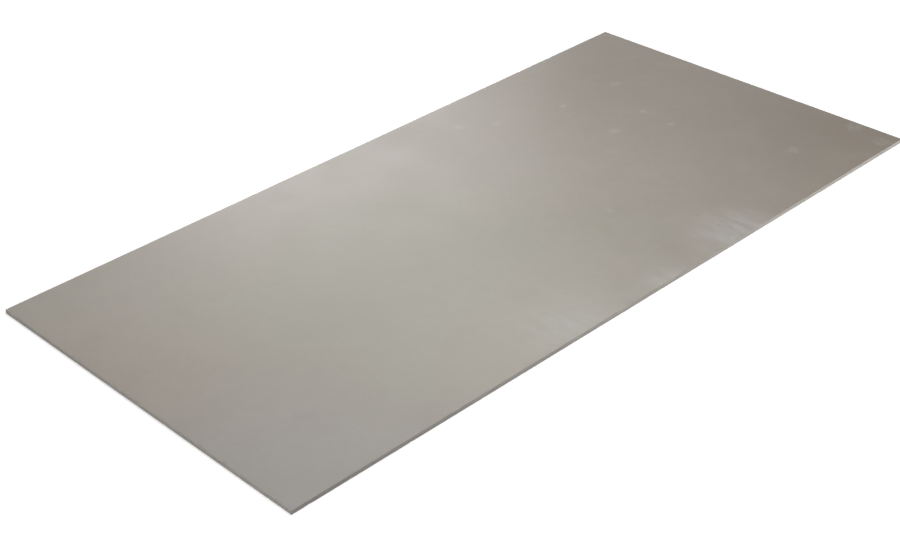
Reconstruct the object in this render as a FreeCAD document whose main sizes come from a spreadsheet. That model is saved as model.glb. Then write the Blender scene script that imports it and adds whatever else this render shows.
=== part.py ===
# Fiber cement board: one flat, autoclaved building sheet, pressed from cement, sand and cellulose
# fibre and cut square on all four sides.
#
# Frame: +Z up, millimetres. The sheet lies flat with its back face on Z = 0 and its long side
# along X. The origin is the middle of the back face.

import FreeCAD
import Part
import Sketcher

import os

# (alias, millimetres, what it is)
DIMENSIONS = [
    ("board_length", 2400.0, "long side, along X"),
    ("board_width", 1200.0, "short side, along Y"),
    ("board_thickness", 12.0, "back face to front face, along Z"),
    ("corner_radius", 1.5, "plan radius of each corner, blunted as it comes off the saw"),
    ("arris_radius", 0.6, "radius of the edges where the faces meet the cut sides"),
]
PARTS_FOLDER = "parts"
TOLERANCE = 1e-6


def make_dimension_sheet(document):
    """Write the driving dimensions into a spreadsheet, one aliased cell each."""
    sheet = document.addObject("Spreadsheet::Sheet", "Dimensions")
    for row, (alias, value, note) in enumerate(DIMENSIONS, start=1):
        sheet.set(f"A{row}", alias)
        sheet.set(f"B{row}", str(value))
        sheet.setAlias(f"B{row}", alias)
        sheet.set(f"C{row}", note)
    document.recompute()
    return sheet


def origin_plane(body, role):
    """Return one of the body's own origin planes, such as XY_Plane."""
    return next(item for item in body.Origin.OriginFeatures if item.Role == role)


def draw_outline(body, dimensions):
    """Draw the sheet's outline in plan: a rectangle centred on the origin."""
    outline = body.newObject("Sketcher::SketchObject", "Outline")
    outline.AttachmentSupport = [(origin_plane(body, "XY_Plane"), "")]
    outline.MapMode = "FlatFace"

    length = dimensions.get("board_length")
    width = dimensions.get("board_width")
    corners = [
        FreeCAD.Vector(x * length / 2, y * width / 2, 0)
        for x, y in ((-1, -1), (1, -1), (1, 1), (-1, 1))
    ]
    sides = [
        outline.addGeometry(Part.LineSegment(corners[i], corners[(i + 1) % 4]), False)
        for i in range(4)
    ]
    near, right, far, left = sides
    start, end = 1, 2
    for i in range(4):
        outline.addConstraint(
            Sketcher.Constraint("Coincident", sides[i], end, sides[(i + 1) % 4], start)
        )
    for side in (near, far):
        outline.addConstraint(Sketcher.Constraint("Horizontal", side))
    for side in (right, left):
        outline.addConstraint(Sketcher.Constraint("Vertical", side))

    origin_geometry, origin_point = -1, 1
    outline.addConstraint(
        Sketcher.Constraint(
            "Symmetric", near, start, far, start, origin_geometry, origin_point
        )
    )
    length_rule = outline.addConstraint(
        Sketcher.Constraint("DistanceX", near, start, near, end, length)
    )
    width_rule = outline.addConstraint(
        Sketcher.Constraint("DistanceY", right, start, right, end, width)
    )
    outline.renameConstraint(length_rule, "length")
    outline.renameConstraint(width_rule, "width")
    outline.setExpression("Constraints.length", "Dimensions.board_length")
    outline.setExpression("Constraints.width", "Dimensions.board_width")
    return outline


def press_sheet(body, outline):
    """Pad the outline up to the board's thickness."""
    sheet = body.newObject("PartDesign::Pad", "PressedSheet")
    sheet.Profile = outline
    sheet.setExpression("Length", "Dimensions.board_thickness")
    outline.Visibility = False
    body.Document.recompute()
    return sheet


def edge_names(shape, wanted):
    """Name every edge of the shape that passes the test, as a fillet takes them."""
    return [f"Edge{i}" for i, edge in enumerate(shape.Edges, start=1) if wanted(edge)]


def stands_upright(edge):
    """Tell whether an edge runs from the back face to the front face."""
    bounds = edge.BoundBox
    return bounds.ZLength > bounds.XLength + bounds.YLength


def lies_on_a_face(edge):
    """Tell whether an edge lies in the back face or the front face."""
    return edge.BoundBox.ZLength < TOLERANCE


def round_edges(body, base, name, wanted, radius_alias):
    """Fillet the edges of the base feature that pass the test, at a radius from the sheet."""
    fillet = body.newObject("PartDesign::Fillet", name)
    fillet.Base = (base, edge_names(base.Shape, wanted))
    fillet.setExpression("Radius", f"Dimensions.{radius_alias}")
    body.Document.recompute()
    return fillet


def build_board(document, dimensions):
    """Build the board: outline, thickness, blunted corners, then the eased arrises."""
    body = document.addObject("PartDesign::Body", "Board")
    body.Label = "fiber_cement_board"
    outline = draw_outline(body, dimensions)
    sheet = press_sheet(body, outline)
    corners = round_edges(body, sheet, "BluntCorners", stands_upright, "corner_radius")
    round_edges(body, corners, "EasedArrises", lies_on_a_face, "arris_radius")
    body.Placement = FreeCAD.Placement()
    return body


def check(document, bodies):
    """Stop if any object failed to compute, or a sub-part isn't one sound solid."""
    for item in document.Objects:
        if "Invalid" in item.State or "Error" in item.State:
            raise RuntimeError(f"{item.Label} did not compute: {item.State}")
    for body in bodies:
        shape = body.Shape
        if shape.isNull() or not shape.isValid():
            raise RuntimeError(f"{body.Label} has no valid shape")
        if len(shape.Solids) != 1:
            raise RuntimeError(f"{body.Label} is {len(shape.Solids)} solids, not 1")


def export(bodies):
    """Write each sub-part to parts/LABEL.step and print its size."""
    os.makedirs(PARTS_FOLDER, exist_ok=True)
    for body in bodies:
        body.Shape.exportStep(os.path.join(PARTS_FOLDER, f"{body.Label}.step"))
        box = body.Shape.BoundBox
        print(
            f"{body.Label}: {box.XLength:.2f} x {box.YLength:.2f} x {box.ZLength:.2f} mm,"
            f" {body.Shape.Volume / 1e6:.4f} litres"
        )


def main():
    document = FreeCAD.newDocument("FiberCementBoard")
    dimensions = make_dimension_sheet(document)
    bodies = [build_board(document, dimensions)]
    document.recompute()
    check(document, bodies)
    export(bodies)


main()
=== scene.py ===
# %% [markdown]
# # A fibre cement board
#
# The object is one pressed and cured sheet, 2.4 m by 1.2 m and 12 mm thick,
# lying flat. It is made of very thin plies of cement, sand and cellulose
# fibre that are wound up wet, pressed together and cured under steam, and the
# sheet is then sawn to size. So it has three kinds of surface: a smooth
# pressed front, a plain back with the mark of the felt it was made on, and
# four sawn edges that show the plies and crumble a little at their corners.
#
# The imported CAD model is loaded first. It is the frame: every place below is
# worked out from it, in metres, with Z up.

# %% Load the frame
import math

import bmesh
import bpy
from mathutils import Matrix, Vector


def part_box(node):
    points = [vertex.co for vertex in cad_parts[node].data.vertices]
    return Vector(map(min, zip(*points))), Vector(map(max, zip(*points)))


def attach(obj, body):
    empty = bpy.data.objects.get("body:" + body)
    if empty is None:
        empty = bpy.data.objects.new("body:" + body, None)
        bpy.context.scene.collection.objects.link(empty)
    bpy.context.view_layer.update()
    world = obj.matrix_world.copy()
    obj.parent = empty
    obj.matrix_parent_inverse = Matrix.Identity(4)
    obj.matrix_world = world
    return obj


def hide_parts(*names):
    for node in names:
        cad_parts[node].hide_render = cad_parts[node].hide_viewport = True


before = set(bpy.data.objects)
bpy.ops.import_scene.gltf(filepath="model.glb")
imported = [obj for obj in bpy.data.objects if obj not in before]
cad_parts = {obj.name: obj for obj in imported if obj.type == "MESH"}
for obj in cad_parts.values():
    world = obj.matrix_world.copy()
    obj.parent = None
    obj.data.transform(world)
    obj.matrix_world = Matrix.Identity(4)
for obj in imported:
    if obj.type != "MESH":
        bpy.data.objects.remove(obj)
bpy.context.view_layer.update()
low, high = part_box("fiber_cement_board")
size = high - low
middle = (low + high) / 2
MM = 0.001
print("board, metres:", [round(side, 4) for side in size])

# %% [markdown]
# ## Selecting by place
#
# With no window open, nothing can be clicked, so faces and edges are selected
# in code. `choose` switches edit mode to corners, edges or faces, drops what
# was selected, and selects only what a small test says yes to. A test looks at
# where the part is, which way it runs, or which way it faces.


# %% Selection helper
def choose(piece, kind, wanted):
    """Select only the VERT, EDGE or FACE parts that pass the test."""
    bpy.ops.mesh.select_mode(type=kind)
    bpy.ops.mesh.select_all(action="DESELECT")
    shape = bmesh.from_edit_mesh(piece.data)
    parts = {"VERT": shape.verts, "EDGE": shape.edges, "FACE": shape.faces}[kind]
    picked = [part for part in parts if wanted(part)]
    for part in picked:
        part.select_set(True)
    shape.select_flush_mode()
    bmesh.update_edit_mesh(piece.data)
    return len(picked)


NEAR = 0.01 * MM
# How much of a face's normal points up or down: more than LEVEL on the two
# broad faces, less than UPRIGHT on the sawn sides.
LEVEL = 0.8
UPRIGHT = 0.1


def same(a, b):
    """True where two lengths agree to a hundredth of a millimetre."""
    return abs(a - b) < NEAR


def runs_along(edge, axis):
    """True where an edge lies exactly along X (0), Y (1) or Z (2)."""
    step = edge.verts[1].co - edge.verts[0].co
    across = [abs(step[other]) for other in range(3) if other != axis]
    return max(across) < NEAR


def inset_from_side(corner, axis):
    """How far a corner lies inside the board's side, along X (0) or Y (1)."""
    return size[axis] / 2 - abs(corner.co[axis] - middle[axis])


# %% [markdown]
# ## The blank sheet
#
# A board this plain still has a shape that the eye reads: its edges. They are
# sawn through a brittle material, so the sharp corners crumble and the plies
# stand out as fine ridges. A box with six faces can't show that. The sheet
# starts as a box of the CAD model's size, and both big faces get an inset, so
# that a narrow rim runs round each of them. The rim and the sawn edges will be
# divided finely, and the broad middle only coarsely.

# %% Box and rims
RIM = 12 * MM

bpy.ops.object.select_all(action="DESELECT")
bpy.ops.mesh.primitive_cube_add(size=1, location=middle, scale=size)
board = bpy.context.object
board.name = "pressed_sheet"
board.data.name = "pressed_sheet"
bpy.ops.object.transform_apply(location=True, rotation=True, scale=True)
bpy.ops.object.mode_set(mode="EDIT")
choose(board, "FACE", lambda face: abs(face.normal.z) > LEVEL)
bpy.ops.mesh.inset(thickness=RIM, use_individual=True, use_even_offset=True)
print("rims:", len(bmesh.from_edit_mesh(board.data).faces), "faces")

# %% [markdown]
# ## Dividing the sheet
#
# Subdividing two opposite edges of a four-sided face cuts it into a ladder.
# Cutting all the edges that run along the length, and then all that run along
# the width, makes cells of about 24 mm over the whole board. The edges round
# the rim are then cut eight times finer, into 3 mm steps, and the middle cells
# that touch them simply gain corners. The sawn edge gets one row of faces for
# each millimetre of thickness, which is about one ply of a real sheet.

# %% Cells, rim steps and plies
CELL = 24 * MM
RIM_CUTS = 7
RIM_STRIPS = 4
PLIES = round(size.z / MM)


def is_long(edge):
    """True for the edges of the box and its rims that are still undivided."""
    return edge.calc_length() > 4 * CELL


for axis in (0, 1):
    choose(board, "EDGE", lambda edge: runs_along(edge, axis) and is_long(edge))
    bpy.ops.mesh.subdivide(number_cuts=round(size[axis] / CELL) - 1)


def follows_rim(edge):
    """True where an edge runs along the rim, on its inner or its outer line."""
    for axis in (0, 1):
        inside = [inset_from_side(corner, 1 - axis) for corner in edge.verts]
        if runs_along(edge, axis) and max(inside) < RIM + NEAR:
            return True
    return False


def outline_gap(corner):
    """How far a corner lies inside the board's outline."""
    return min(inset_from_side(corner, 0), inset_from_side(corner, 1))


def crosses_rim(edge):
    """True where an edge joins a rim's outer line to its inner line."""
    gaps = sorted(outline_gap(corner) for corner in edge.verts)
    return same(gaps[0], 0) and same(gaps[1], RIM)


choose(board, "EDGE", follows_rim)
bpy.ops.mesh.subdivide(number_cuts=RIM_CUTS)
choose(board, "EDGE", lambda edge: runs_along(edge, 2))
bpy.ops.mesh.subdivide(number_cuts=PLIES - 1)
choose(board, "EDGE", crosses_rim)
bpy.ops.mesh.subdivide(number_cuts=RIM_STRIPS - 1)
print("divided:", len(bmesh.from_edit_mesh(board.data).faces), "faces")

# %% [markdown]
# ## Corners and arrises
#
# The four upright corners are knocked blunt in handling, so each gets a small
# bevel from top to bottom. An arris is the sharp line where a face meets a
# sawn edge. The saw leaves it broken by a fraction of a millimetre all the way
# round, so the eight long lines get a narrow bevel too.

# %% Blunt corners, broken arrises
CORNER = 1.5 * MM
ARRIS = 0.35 * MM


def is_upright_corner(edge):
    """True for an edge that stands in one of the board's four corners."""
    return runs_along(edge, 2) and all(
        same(inset_from_side(corner, axis), 0)
        for corner in edge.verts
        for axis in (0, 1)
    )


def is_arris(edge):
    """True where a level face and an upright face meet."""
    if len(edge.link_faces) != 2:
        return False
    slopes = sorted(abs(face.normal.z) for face in edge.link_faces)
    return slopes[0] < UPRIGHT and slopes[1] > LEVEL


choose(board, "EDGE", is_upright_corner)
bpy.ops.mesh.bevel(offset=CORNER, segments=2, affect="EDGES")
arris_edges = choose(board, "EDGE", is_arris)
bpy.ops.mesh.bevel(offset=ARRIS, segments=1, affect="EDGES")
bpy.ops.mesh.select_all(action="SELECT")
bpy.ops.mesh.remove_doubles(threshold=NEAR)
bpy.ops.mesh.normals_make_consistent(inside=False)
print("arris edges:", arris_edges)

# %% [markdown]
# ## Ply ridges
#
# In a sawn edge the plies don't wear back evenly: the weaker ones are dragged
# out by the teeth. Every other row of corners is drawn in by a tenth of a
# millimetre, by scaling that row a little about the middle of the board.

# %% Draw in every other ply
PLY_RELIEF = 0.12 * MM


def on_soft_ply(corner):
    """True on every other row of corners inside the sawn edge."""
    row = (corner.co.z - low.z) / (size.z / PLIES)
    inner_row = same(row, round(row)) and 0 < round(row) < PLIES
    return inner_row and round(row) % 2 == 1 and outline_gap(corner) < CORNER


soft = choose(board, "VERT", on_soft_ply)
drawn_in = (1 - 2 * PLY_RELIEF / size.x, 1 - 2 * PLY_RELIEF / size.y, 1)
bpy.ops.transform.resize(value=drawn_in, center_override=middle)
print("corners drawn in:", soft)

# %% [markdown]
# ## Wear, from noise
#
# Nobody models crumbs one at a time. Four Displace modifiers push the surface
# inwards by procedural noise, and a vertex group says where each may act: the
# level front, all of the sawn edge, the arris alone, and the arris with a little
# on either side of it. A colour ramp keeps the noise between nothing and all,
# and the strength is negative, so it can only take material away and the board
# never grows. Noise sizes are real ones: waves of some 300 mm left by the press,
# sand and fibre tears of a few millimetres, and chips some centimetres apart.


# %% Groups for the wear
def group_of(name, weight, wanted):
    """Put the corners that pass the test in a vertex group."""
    count = choose(board, "VERT", wanted)
    bpy.context.scene.tool_settings.vertex_group_weight = weight
    if name not in board.vertex_groups:
        board.vertex_groups.new(name=name)
    board.vertex_groups.active_index = board.vertex_groups[name].index
    bpy.ops.object.vertex_group_assign()
    print(name, weight, count)


def level_gap(corner):
    """How far a corner lies from the nearer of the two level faces."""
    return min(corner.co.z - low.z, high.z - corner.co.z)


def at_arris(corner):
    """True on the narrow bevel between a broad face and a sawn side."""
    return level_gap(corner) < ARRIS + NEAR and outline_gap(corner) < ARRIS + NEAR


CHIP_DOWN = 1.1 * MM
CHIP_INWARD = 3.5 * MM
FADING = 0.6


def beside_arris(corner):
    """True just below the arris on the sawn side, or just inside it on the face."""
    on_edge = level_gap(corner) < CHIP_DOWN and outline_gap(corner) < CORNER
    on_face = level_gap(corner) < NEAR and outline_gap(corner) < CHIP_INWARD
    return (on_edge or on_face) and not at_arris(corner)


group_of("sawn", 1.0, lambda c: outline_gap(c) < CORNER and level_gap(c) > NEAR)
group_of("arris", 1.0, at_arris)
group_of("chips", 1.0, at_arris)
group_of("chips", FADING, beside_arris)
group_of("front", 1.0, lambda c: c.co.z > high.z - NEAR)
bpy.ops.object.mode_set(mode="OBJECT")

# %% Noise and displacement
CREASE = math.radians(35)


def wear(name, group, depth, grain, start, end):
    """Take material away where cloud noise rises from start to end."""
    noise = bpy.data.textures.new(name, type="CLOUDS")
    noise.noise_scale = grain
    noise.noise_depth = 2
    noise.use_color_ramp = True
    none, full = noise.color_ramp.elements
    none.position, none.color = start, (0.0, 0.0, 0.0, 1.0)
    full.position, full.color = end, (1.0, 1.0, 1.0, 1.0)
    push = board.modifiers.new(name, "DISPLACE")
    push.texture = noise
    push.texture_coords = "LOCAL"
    push.vertex_group = group
    push.direction = "Z" if group == "front" else "NORMAL"
    push.mid_level = 0.0
    push.strength = -depth
    bpy.ops.object.modifier_apply(modifier=push.name)


wear("press waves", "front", 0.25 * MM, 300 * MM, 0.2, 0.8)
wear("torn fibres", "sawn", 0.3 * MM, 4 * MM, 0.2, 0.8)
wear("crumbled arris", "arris", 0.3 * MM, 6 * MM, 0.3, 0.8)
wear("chips", "chips", 0.9 * MM, 16 * MM, 0.62, 0.78)
bpy.ops.object.shade_smooth_by_angle(angle=CREASE)
board.data.calc_loop_triangles()
print("triangles:", len(board.data.loop_triangles))

# %% [markdown]
# ## Writing a material
#
# Two small helpers serve every material. `linear` turns a colour written as it
# looks on screen into the linear values that the renderer works with. `add`
# makes one node, gives its inputs a value or a link, and sets its options.


# %% Material helpers
def linear(code):
    """An sRGB hex colour as linear red, green, blue and alpha."""
    parts = [int(code[place : place + 2], 16) / 255 for place in (0, 2, 4)]
    curve = [
        part / 12.92 if part <= 0.04045 else ((part + 0.055) / 1.055) ** 2.4
        for part in parts
    ]
    return (*curve, 1.0)


def new_material(name):
    material = bpy.data.materials.new(name)
    material.use_nodes = True
    material.node_tree.nodes.clear()
    return material


def add(material, kind, inputs=None, **options):
    """Add one node with its options, values and links."""
    made = material.node_tree.nodes.new(kind)
    for option, value in options.items():
        setattr(made, option, value)
    for name, value in (inputs or {}).items():
        if isinstance(value, bpy.types.NodeSocket):
            material.node_tree.links.new(value, made.inputs[name])
        else:
            made.inputs[name].default_value = value
    return made


# %% [markdown]
# ## Patterns and layers
#
# Every finish here is built like paint on a sample: a base colour, and thin
# layers over it, each held back by a pattern. Two patterns are enough. Clouds
# are noise with lumps of a given size, and a patch is a soft round spot at a
# place on the board. Two layers use them: a tint lays a colour down where a
# pattern is strong, and a shade makes what lies under it darker or lighter.
# All of them read Object coordinates, so they are real metres on the sheet and
# stay put when the camera moves.


# %% Patterns
def clouds(material, where, length, detail=2.0, roughness=0.5, offset=0.0):
    """Cloud noise whose lumps are about this long, from its own corner."""
    shift = (offset, offset * 1.7, offset * 0.6)
    moved = add(
        material, "ShaderNodeVectorMath", {0: where, 1: shift}, operation="ADD"
    )
    made = add(
        material,
        "ShaderNodeTexNoise",
        {
            "Vector": moved.outputs["Vector"],
            "Scale": 1 / length,
            "Detail": detail,
            "Roughness": roughness,
        },
    )
    return made.outputs["Fac"]


def patch(material, where, x, y, reach, strength=1.0):
    """A soft round patch, strongest at x, y and gone at its reach, in metres."""
    gap = add(
        material,
        "ShaderNodeVectorMath",
        {0: where, 1: (x, y, high.z)},
        operation="DISTANCE",
    )
    fade = add(
        material,
        "ShaderNodeMapRange",
        {
            "Value": gap.outputs["Value"],
            "From Min": 0.0,
            "From Max": reach,
            "To Min": strength,
            "To Max": 0.0,
        },
        interpolation_type="SMOOTHSTEP",
    )
    return fade.outputs["Result"]


def strongest(material, patterns):
    """The strongest of several patterns, at each point."""
    top = patterns[0]
    for pattern in patterns[1:]:
        both = {0: top, 1: pattern}
        top = add(material, "ShaderNodeMath", both, operation="MAXIMUM").outputs[0]
    return top


# %% Layers
# A Mix node keeps one set of sockets for each kind of data. These are the
# numbers of its factor, its two colour inputs and its colour output.
FACTOR, UNDER, OVER, MIXED = 0, 6, 7, 2


def tint(material, under, code, pattern, start=0.0, end=1.0, strength=1.0):
    """Lay a colour over another, more and more as a pattern goes from start to end."""
    amount = add(
        material,
        "ShaderNodeMapRange",
        {"Value": pattern, "From Min": start, "From Max": end, "To Max": strength},
    )
    layer = add(
        material,
        "ShaderNodeMix",
        {FACTOR: amount.outputs["Result"], UNDER: under, OVER: linear(code)},
        data_type="RGBA",
    )
    return layer.outputs[MIXED]


def shade(material, under, pattern, darkest, lightest, start=0.3, end=0.7):
    """Multiply a colour by a pattern that is stretched to a small range round one."""
    tone = add(
        material,
        "ShaderNodeMapRange",
        {
            "Value": pattern,
            "From Min": start,
            "From Max": end,
            "To Min": darkest,
            "To Max": lightest,
        },
    )
    layer = add(
        material,
        "ShaderNodeMix",
        {FACTOR: 1.0, UNDER: under, OVER: tone.outputs["Result"]},
        data_type="RGBA",
        blend_type="MULTIPLY",
    )
    return layer.outputs[MIXED]


# %% [markdown]
# ## Pressed front
#
# Fibre cement: Portland cement, fine sand and cellulose, pressed against a
# smooth plate, steam-cured and left bare. It gives the eye a mid grey that is
# matt from above and has a broad satin sheen at a low angle. The grey drifts
# from a slightly green cement grey in the middle of the sheet to a warmer one
# at its ends, where it dried faster. Broad patches paint light and shade into
# the colour: painted sheen towards the far side, painted light by the near
# edge on the left, and painted shade at the right-hand end. Soft clouds of ten
# or twenty centimetres show where the felt drew water unevenly.

# %% Front: drifting grey, painted sheen and shade
# The darker and paler greys below are used twice: for random drying clouds, and for
# broad patches of painted shade and painted sheen. The ash grey is painted light,
# paler and greyer, in the near left corner.
WARM = "A1988E"
GREEN = "9C998B"
SHADE_AND_DARK_CLOUD = "8A7F72"
SHEEN_AND_PALE_CLOUD = "B1ABA0"
PAINTED_LIGHT_ASH = "A5A29F"

front = new_material("pressed fibre cement, bare")
place = add(front, "ShaderNodeTexCoord").outputs["Object"]

wander = add(
    front,
    "ShaderNodeMapRange",
    {
        "Value": clouds(front, place, 350 * MM, offset=3.1),
        "From Min": 0.35,
        "From Max": 0.65,
        "To Min": -0.35,
        "To Max": 0.2,
    },
)
middle_patch = patch(front, place, -0.35, -0.10, 0.95, 1.5)
wandering = add(
    front,
    "ShaderNodeMath",
    {0: middle_patch, 1: wander.outputs["Result"]},
    operation="ADD",
)
pinkish = patch(front, place, -0.10, 0.65, 0.55, 1.0)
greenish = add(
    front,
    "ShaderNodeMath",
    {0: wandering.outputs["Value"], 1: pinkish},
    operation="SUBTRACT",
)
colour = tint(front, linear(WARM), GREEN, greenish.outputs["Value"])

# Broad patches of painted light and shade, not marks in the sheet: the paler ones
# paint sheen on the far side and light by the near edge on the left, the darker ones
# paint shade towards the right-hand end.
painted_light_and_shade = [
    ("painted light, near middle", SHEEN_AND_PALE_CLOUD, -0.28, -0.74, 0.80, 1.00),
    ("painted sheen, far corner", SHEEN_AND_PALE_CLOUD, -1.00, 0.70, 0.90, 0.75),
    ("painted sheen, far middle", SHEEN_AND_PALE_CLOUD, -0.35, 0.80, 0.65, 0.90),
    ("painted light, near corner", PAINTED_LIGHT_ASH, -1.25, -0.75, 0.85, 0.90),
    ("painted shade, right end", SHADE_AND_DARK_CLOUD, 1.30, -0.50, 0.90, 1.00),
    ("painted shade, near edge", SHADE_AND_DARK_CLOUD, 0.75, -0.80, 0.50, 0.45),
    ("painted shade, far right", SHADE_AND_DARK_CLOUD, 0.78, 0.78, 0.98, 1.00),
]
for label, code, x, y, reach, strength in painted_light_and_shade:
    colour = tint(front, colour, code, patch(front, place, x, y, reach, strength))
    print("front:", label)

drying = clouds(front, place, 160 * MM, 3.0, 0.5, 7.7)
colour = tint(front, colour, SHADE_AND_DARK_CLOUD, drying, 0.5, 0.25, 0.16)
colour = tint(front, colour, SHEEN_AND_PALE_CLOUD, drying, 0.52, 0.75, 0.16)

# %% [markdown]
# ## Marks on the front
#
# A sheet collects small marks. Lime blooms to a whitish haze where water stood,
# here in three places by the front edge, broken into short streaks by noise
# that is squeezed along the sheet. Pale spots a few centimetres wide are drips,
# and two dark specks are grit. A dozen places are enough, each a soft patch
# whose rim is roughened by noise. Fine mottle covers the rest. Real sand and
# fibre are finer than a millimetre; the finest fleck is drawn at 4 mm and the
# bump at 2.5 mm, so that they still show from a few steps away.

# %% Front: lime bloom
BLOOM = "C0C0BD"
DRAWN_OUT = 4.0

streaks = add(
    front,
    "ShaderNodeMapping",
    {"Vector": place, "Scale": (DRAWN_OUT, 1.0, 1.0)},
)
streak = add(
    front,
    "ShaderNodeMapRange",
    {
        "Value": clouds(front, streaks.outputs["Vector"], 110 * MM, 4.0, 0.65, 1.9),
        "From Min": 0.40,
        "From Max": 0.68,
        "To Min": 0.35,
        "To Max": 1.0,
    },
)
pools = [
    (0.42, -0.60, 0.20, 0.80),
    (0.11, -0.60, 0.10, 0.60),
    (-0.23, -0.55, 0.22, 0.55),
]
haze = add(
    front,
    "ShaderNodeMath",
    {
        0: strongest(front, [patch(front, place, *pool) for pool in pools]),
        1: streak.outputs["Result"],
    },
    operation="MULTIPLY",
)
colour = tint(front, colour, BLOOM, haze.outputs["Value"])
print("pools of bloom:", len(pools))

# %% Front: spots and specks
SPOT = "C6C1B8"
SPECK = "6F685F"

rough_rim = add(
    front,
    "ShaderNodeMapRange",
    {
        "Value": clouds(front, place, 14 * MM, 3.0, 0.6, 2.0),
        "From Min": 0.3,
        "From Max": 0.7,
        "To Min": 0.2,
        "To Max": 1.4,
    },
)


def marks(places, reach, code, strength, under):
    """Add soft marks of one colour, with a rough rim, at several places."""
    spots = [patch(front, place, x, y, reach * scale) for x, y, scale in places]
    worn = add(
        front,
        "ShaderNodeMath",
        {0: strongest(front, spots), 1: rough_rim.outputs["Result"]},
        operation="MULTIPLY",
    )
    print("marks of", code, len(places))
    return tint(front, under, code, worn.outputs["Value"], 0.1, 1.0, strength)


pale_spots = [
    (0.66, 0.08, 1.0),
    (0.91, 0.30, 0.9),
    (0.82, 0.10, 0.8),
    (0.81, -0.02, 0.7),
    (0.28, -0.23, 0.9),
    (0.92, -0.40, 1.1),
    (0.45, 0.39, 0.8),
    (0.68, 0.32, 0.7),
    (0.35, 0.46, 0.9),
    (1.17, -0.45, 1.5),
    (1.14, -0.57, 1.3),
]
dark_specks = [(0.02, 0.11, 1.0), (0.62, -0.04, 1.0)]
colour = marks(pale_spots, 32 * MM, SPOT, 0.22, colour)
colour = marks(dark_specks, 7 * MM, SPECK, 0.5, colour)

# %% Front: mottle, fleck and shader
CEMENT_IOR = 1.5

mottle = clouds(front, place, 26 * MM, 5.0, 0.65, 1.3)
colour = shade(front, colour, mottle, 0.98, 1.02)
fleck = clouds(front, place, 4 * MM, 3.0, 0.7, 6.1)
colour = shade(front, colour, fleck, 0.965, 1.035)

grain = clouds(front, place, 2.5 * MM, 2.0, 0.6, 5.0)
relief = add(
    front,
    "ShaderNodeBump",
    {"Height": grain, "Strength": 0.3, "Distance": 0.15 * MM},
)
sheen = add(
    front,
    "ShaderNodeMapRange",
    {
        "Value": drying,
        "From Min": 0.3,
        "From Max": 0.7,
        "To Min": 0.43,
        "To Max": 0.48,
    },
)
shader = add(
    front,
    "ShaderNodeBsdfPrincipled",
    {
        "Base Color": colour,
        "Roughness": sheen.outputs["Result"],
        "IOR": CEMENT_IOR,
        "Normal": relief.outputs["Normal"],
    },
)
add(front, "ShaderNodeOutputMaterial", {"Surface": shader.outputs["BSDF"]})

# %% [markdown]
# ## Sawn edge
#
# The same material cut through by a diamond blade: no pressed skin, so it is
# rougher, a little darker and quite matt. The plies lie flat, so their pattern
# is noise that is squeezed through the board's thickness. The grit is drawn at
# 3 mm, coarser than real sand, so that it shows.

# %% Edge: plies and grit
CUT_DARK = "98938D"
CUT_PALE = "B2ADA7"
PLY_SQUEEZE = 45.0

edge = new_material("fibre cement, sawn")
place = add(edge, "ShaderNodeTexCoord").outputs["Object"]
plies = add(
    edge,
    "ShaderNodeMapping",
    {"Vector": place, "Scale": (1.0, 1.0, PLY_SQUEEZE)},
)
band = clouds(edge, plies.outputs["Vector"], 60 * MM, 3.0, 0.6, 2.2)
colour = tint(edge, linear(CUT_DARK), CUT_PALE, band, 0.35, 0.65)
grit = clouds(edge, place, 3 * MM, 3.0, 0.7, 4.4)
colour = shade(edge, colour, grit, 0.86, 1.12)
relief = add(
    edge,
    "ShaderNodeBump",
    {"Height": grit, "Strength": 0.5, "Distance": 0.3 * MM},
)
shader = add(
    edge,
    "ShaderNodeBsdfPrincipled",
    {
        "Base Color": colour,
        "Roughness": 0.85,
        "IOR": CEMENT_IOR,
        "Normal": relief.outputs["Normal"],
    },
)
add(edge, "ShaderNodeOutputMaterial", {"Surface": shader.outputs["BSDF"]})

# %% [markdown]
# ## Felt-marked back
#
# The back lay on the felt belt that carried the wet sheet. It is the same grey,
# a little duller, and keeps the weave of the felt as two sets of fine ridges
# that cross. Real threads lie about 2 mm apart; they are drawn 5 mm apart here,
# so that they still show from a step away.

# %% Back: cloudy grey and crossing threads
FELT_DARK = "978F84"
FELT_PALE = "A39C91"
THREAD = 5 * MM
WAVES_PER_SCALE = math.pi / 10

back = new_material("fibre cement, felt side")
place = add(back, "ShaderNodeTexCoord").outputs["Object"]
cloudy = clouds(back, place, 200 * MM, 4.0, 0.55, 9.0)
colour = tint(back, linear(FELT_DARK), FELT_PALE, cloudy, 0.35, 0.65)

threads = [
    add(
        back,
        "ShaderNodeTexWave",
        {
            "Vector": place,
            "Scale": WAVES_PER_SCALE / THREAD,
            "Distortion": 0.8,
            "Detail": 2.0,
            "Detail Scale": 8.0,
        },
        bands_direction=direction,
    ).outputs["Fac"]
    for direction in ("X", "Y")
]
weave = add(
    back, "ShaderNodeMath", {0: threads[0], 1: threads[1]}, operation="MULTIPLY"
).outputs["Value"]
colour = shade(back, colour, weave, 0.96, 1.04, 0.0, 1.0)
relief = add(
    back,
    "ShaderNodeBump",
    {"Height": weave, "Strength": 0.5, "Distance": 0.3 * MM},
)
shader = add(
    back,
    "ShaderNodeBsdfPrincipled",
    {
        "Base Color": colour,
        "Roughness": 0.7,
        "IOR": CEMENT_IOR,
        "Normal": relief.outputs["Normal"],
    },
)
add(back, "ShaderNodeOutputMaterial", {"Surface": shader.outputs["BSDF"]})

# %% [markdown]
# ## Giving out the finishes
#
# One mesh can carry several materials, each in a slot of its own. The sheet is
# one piece, so it stays one mesh, and its faces are sorted by the way they look:
# up, down or sideways. The finished sheet then takes the place of the plain CAD
# board and moves with its body.

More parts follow.
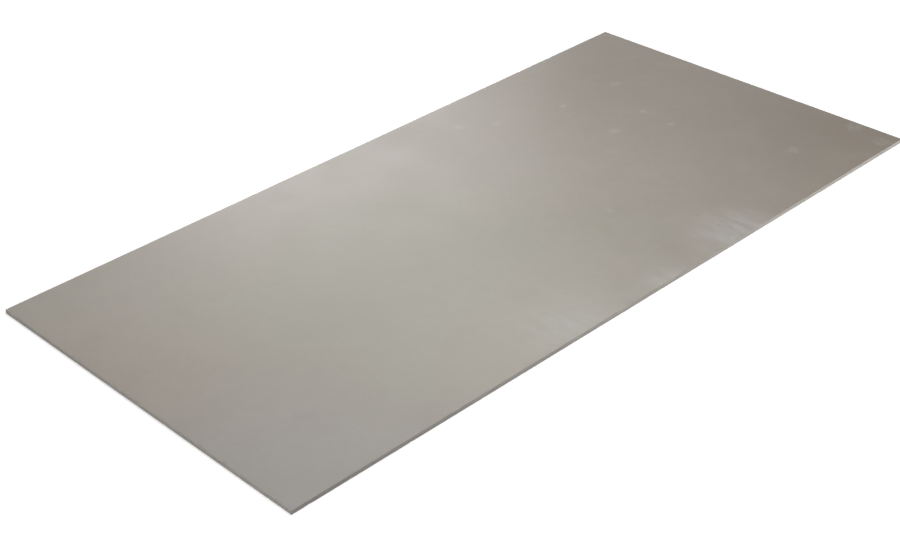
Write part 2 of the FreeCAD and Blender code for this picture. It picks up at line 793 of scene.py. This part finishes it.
# %% Give each surface its finish
for material in (edge, front, back):
    board.data.materials.append(material)
bpy.ops.object.mode_set(mode="EDIT")
surfaces = [
    (0, lambda face: abs(face.normal.z) <= LEVEL),
    (1, lambda face: face.normal.z > LEVEL),
    (2, lambda face: face.normal.z < -LEVEL),
]
for index, test in surfaces:
    count = choose(board, "FACE", test)
    board.active_material_index = index
    bpy.ops.object.material_slot_assign()
    print(board.data.materials[index].name, count, "faces")
bpy.ops.object.mode_set(mode="OBJECT")

# %% Tie the sheet to the frame
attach(board, "root")
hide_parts("fiber_cement_board")

# %% [markdown]
# ## Floor and surroundings
#
# The board lies on a plain white floor. To the camera, and in reflections, the
# floor and the world beyond it look white, while the light they send to the
# board stays modest.

# %% Floor and world
FLOOR_SPAN = 40.0
FLOOR_GLOW = 0.56
FLOOR_GAP = 0.2 * MM
ROOM_LIGHT = 0.06
PAPER = "E8E8E8"
WHITE = "FFFFFF"

bpy.ops.object.select_all(action="DESELECT")
floor_place = (middle.x, middle.y, low.z - FLOOR_GAP)
bpy.ops.mesh.primitive_plane_add(size=FLOOR_SPAN, location=floor_place)
floor = bpy.context.object
floor.name = "studio_floor"


def seen_directly(owner):
    """One where a ray comes from the camera, a reflection or glass."""
    path = add(owner, "ShaderNodeLightPath").outputs
    rays = ("Is Camera Ray", "Is Glossy Ray", "Is Transmission Ray")
    return strongest(owner, [path[ray] for ray in rays])


paper = new_material("matt white floor")
where = add(paper, "ShaderNodeTexCoord").outputs["Object"]
gap = add(
    paper, "ShaderNodeVectorMath", {0: where, 1: middle}, operation="DISTANCE"
)
near_to_far = add(
    paper,
    "ShaderNodeMapRange",
    {
        "Value": gap.outputs["Value"],
        "From Min": size.x / 2,
        "From Max": size.x,
        "To Min": FLOOR_GLOW,
        "To Max": 1.0,
    },
)
glow = add(
    paper,
    "ShaderNodeMath",
    {0: near_to_far.outputs["Result"], 1: seen_directly(paper)},
    operation="MULTIPLY",
).outputs["Value"]
matt = add(paper, "ShaderNodeBsdfDiffuse", {"Color": linear(PAPER)})
lit = add(paper, "ShaderNodeEmission", {"Color": linear(WHITE), "Strength": glow})
both = add(
    paper,
    "ShaderNodeAddShader",
    {0: matt.outputs["BSDF"], 1: lit.outputs["Emission"]},
)
add(paper, "ShaderNodeOutputMaterial", {"Surface": both.outputs["Shader"]})
floor.data.materials.append(paper)

room = bpy.data.worlds.new("white room")
room.use_nodes = True
room.node_tree.nodes.clear()
strength = add(
    room,
    "ShaderNodeMapRange",
    {"Value": seen_directly(room), "To Min": ROOM_LIGHT, "To Max": 1.0},
)
sky = add(
    room,
    "ShaderNodeBackground",
    {"Color": linear(WHITE), "Strength": strength.outputs["Result"]},
)
add(room, "ShaderNodeOutputWorld", {"Surface": sky.outputs["Background"]})
bpy.context.scene.world = room

# %% [markdown]
# ## Lamps
#
# Four soft boxes. The first stands beyond the board and low down, so that its
# light skims the pressed face towards the camera and raises the satin sheen.
# The second is overhead and lights the face evenly. One on the left and a low
# strip in front light the two sawn edges that face the camera.

# %% Soft boxes


def soft_box(name, heading, height, distance, width, depth, power, aim):
    """A flat lamp, placed by its heading from +Y and its height in degrees."""
    turn, rise = math.radians(heading), math.radians(height)
    towards = Vector(
        (
            math.sin(turn) * math.cos(rise),
            math.cos(turn) * math.cos(rise),
            math.sin(rise),
        )
    )
    bpy.ops.object.light_add(type="AREA", location=aim + towards * distance)
    lamp = bpy.context.object
    lamp.name = name
    lamp.data.shape = "RECTANGLE"
    lamp.data.size = width
    lamp.data.size_y = depth
    lamp.data.energy = power
    lamp.rotation_euler = (-towards).to_track_quat("-Z", "Y").to_euler()
    return lamp


centre_top = Vector((middle.x, middle.y, high.z))
right_front = Vector((0.36 * size.x, -0.5 * size.y, high.z))
lamps = [
    soft_box("skimming light", 33.7, 19.5, 4.5, 2.0, 2.0, 60.0, centre_top),
    soft_box("overhead light", 211.0, 80.0, 2.5, 1.0, 1.0, 33.0, centre_top),
    soft_box("left light", -98.0, 15.0, 4.5, 2.5, 2.2, 48.0, centre_top),
    soft_box("front strip light", 158.0, 10.0, 2.0, 2.0, 0.6, 38.0, right_front),
]

# %% [markdown]
# ## Camera
#
# The camera looks down on the sheet from beyond its front left corner, with a
# long lens, so the far side shrinks only a little.

# %% Camera
LENS = 67.95
SENSOR = 36.0
HEADING = math.radians(42.66)
LOOK_DOWN = math.radians(31.94)
ROLL = math.radians(-2.47)
camera_place = Vector((-2.911, -3.012, 2.450))

bpy.ops.object.camera_add()
camera = bpy.context.object
camera.name = "view"
camera.data.lens = LENS
camera.data.sensor_width = SENSOR
camera.matrix_world = (
    Matrix.Translation(camera_place)
    @ Matrix.Rotation(-HEADING, 4, "Z")
    @ Matrix.Rotation(math.pi / 2 - LOOK_DOWN, 4, "X")
    @ Matrix.Rotation(ROLL, 4, "Z")
)
bpy.context.scene.camera = camera
bpy.context.scene.view_settings.view_transform = "Standard"
